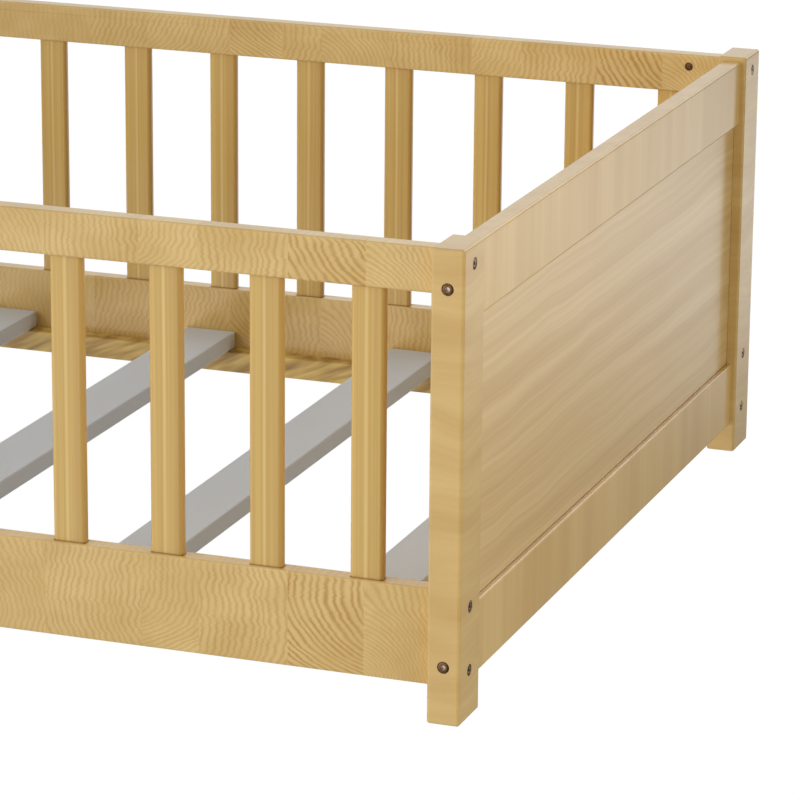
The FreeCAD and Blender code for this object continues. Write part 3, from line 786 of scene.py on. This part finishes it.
SKY_LIGHTS = {
    "overhead": SkyLight((0.0, 0.0, 1.0), 40, 85, 0.22),
    "front_left": SkyLight((-0.7, -0.7, 0.3), 20, 50, 0.48),
    "front_left_low": SkyLight((-0.7, -0.7, 0.0), 20, 50, 1.36),
    "left": SkyLight((-1.0, 0.0, 0.3), 20, 50, 0.25),
    "right_low": SkyLight((0.875, -0.305, -0.28), 8, 25, 0.5),
    "back": SkyLight((0.0, 1.0, 0.3), 20, 50, 0.35),
    "back_high": SkyLight((0.0, 1.0, 0.6), 15, 40, 0.57),
    "back_left": SkyLight((-0.7, 0.7, 0.3), 20, 50, 0.30),
    "back_left_low": SkyLight((-0.28, 0.9, -0.36), 8, 22, 0.6),
    "back_right": SkyLight((0.8, 0.5, 0.45), 15, 40, 0.30),
    "back_right_low": SkyLight((0.32, 0.875, -0.375), 1.5, 4.5, 0.45),
    "back_right_edge": SkyLight((0.27, 0.9, 0.32), 5, 16, 1.5),
    "overhead_edge": SkyLight((-0.33, -0.26, 0.88), 5, 16, 1.3),
    "floor_bounce": SkyLight((0.0, 0.0, -1.0), 35, 65, 0.80),
}
SKY_DIM = 0.02
HORIZON = (-0.05, 0.05)
WHITE = (1.0, 1.0, 1.0, 1.0)
BLACK = (0.0, 0.0, 0.0, 1.0)

# The bright backdrop behind the bed, by the Y and Z of the directions where it fades in
BACKDROP_STRENGTH = 1.08
BACKDROP_SIDES = (0.65, 0.92)
BACKDROP_FOOT = (-0.285, -0.250)
BACKDROP_HEAD = (-0.165, -0.195)


def make_world():
    """A dim white sky with soft round lights in it, and a bright backdrop low down behind the bed."""
    world = bpy.data.worlds.new("studio_white")
    world.use_nodes = True
    sky = NodeTree(world.node_tree)
    place = sky.add("ShaderNodeTexCoord").outputs["Generated"]
    _, y, z = sky.split(place)
    strength = sky.spread(z, *HORIZON, 0.0, SKY_DIM)
    for light in SKY_LIGHTS.values():
        facing = sky.measure("DOT_PRODUCT", place, Vector(light.direction).normalized())
        edge, middle = [math.cos(math.radians(angle)) for angle in (light.gone_at, light.fades_from)]
        strength = sky.calc("ADD", strength, sky.spread(facing, edge, middle, 0.0, light.strength))
    backdrop = sky.spread(y, *BACKDROP_SIDES, 0.0, BACKDROP_STRENGTH)
    for height in (BACKDROP_FOOT, BACKDROP_HEAD):
        backdrop = sky.calc("MULTIPLY", backdrop, sky.spread(z, *height))
    background = world.node_tree.nodes["Background"]
    sky.feed(background.inputs["Color"], WHITE)
    sky.feed(background.inputs["Strength"], sky.calc("ADD", strength, backdrop))
    bpy.context.scene.world = world


SURROUND_SIZE = 60.0
SURROUND_SHINE = 0.1
SURROUND_ROUGH = 0.9


def make_surround():
    """A white floor with walls and a ceiling far off, which neither light nor shade the bed."""
    mesh = bpy.data.meshes.new("studio_surround")
    shape = bmesh.new()
    middle = Matrix.Translation((0.0, 0.0, SURROUND_SIZE / 2))
    bmesh.ops.create_cube(shape, size=SURROUND_SIZE, matrix=middle)
    shape.to_mesh(mesh)
    shape.free()
    surround = bpy.data.objects.new("studio_surround", mesh)
    bpy.context.scene.collection.objects.link(surround)
    finish = Finish("studio_white", SURROUND_SHINE)
    finish.paint("Roughness", SURROUND_ROUGH)
    finish.paint("Base Color", BLACK)
    finish.paint("Emission Color", WHITE)
    finish.paint("Emission Strength", 1.0)
    mesh.materials.append(finish.material)
    surround.visible_diffuse = False
    surround.visible_glossy = False
    surround.visible_shadow = False


class Softbox(NamedTuple):
    """A square studio light: where it stands, what it points at, its width and its power in watts."""
    place: tuple
    target: tuple
    width: float
    power: float


SOFTBOXES = {
    "front_softbox": Softbox((1.2, -2.6, 1.7), (0.7, -0.3, 0.3), 1.6, 8.0),
    "side_softbox": Softbox((2.6, -0.9, 0.5), (0.99, -0.4, 0.2), 1.0, 15.0),
}


def make_softbox(name, softbox):
    """Light the bed by a softbox that doesn't show as a reflection in its lacquer."""
    light = bpy.data.lights.new(name, "AREA")
    light.shape = "SQUARE"
    light.size = softbox.width
    light.energy = softbox.power
    lamp = bpy.data.objects.new(name, light)
    aim = Vector(softbox.target) - Vector(softbox.place)
    lamp.location = softbox.place
    lamp.rotation_euler = aim.to_track_quat("-Z", "Y").to_euler()
    lamp.visible_glossy = False
    bpy.context.scene.collection.objects.link(lamp)


# The camera stands off the bed's front right corner and looks slightly down on it
CAMERA_PLACE = (2.237, -4.170, 1.4516)
CAMERA_TURN = 19.921
CAMERA_TILT = -16.126
CAMERA_ROLL = 0.5
CAMERA_LENS = 182.1
SENSOR_WIDTH = 36.0


def make_camera():
    camera = bpy.data.cameras.new("photo_camera")
    camera.sensor_width = SENSOR_WIDTH
    camera.lens = CAMERA_LENS
    holder = bpy.data.objects.new("photo_camera", camera)
    turn = Matrix.Rotation(math.radians(CAMERA_TURN), 4, "Z")
    tilt = Matrix.Rotation(math.radians(90 + CAMERA_TILT), 4, "X")
    roll = Matrix.Rotation(math.radians(CAMERA_ROLL), 4, "Z")
    holder.location = CAMERA_PLACE
    holder.rotation_euler = (turn @ tilt @ roll).to_euler()
    bpy.context.scene.collection.objects.link(holder)
    bpy.context.scene.camera = holder


make_surround()
make_world()
for softbox_name, softbox_settings in SOFTBOXES.items():
    make_softbox(softbox_name, softbox_settings)
make_camera()
bpy.context.scene.view_settings.view_transform = "Standard"
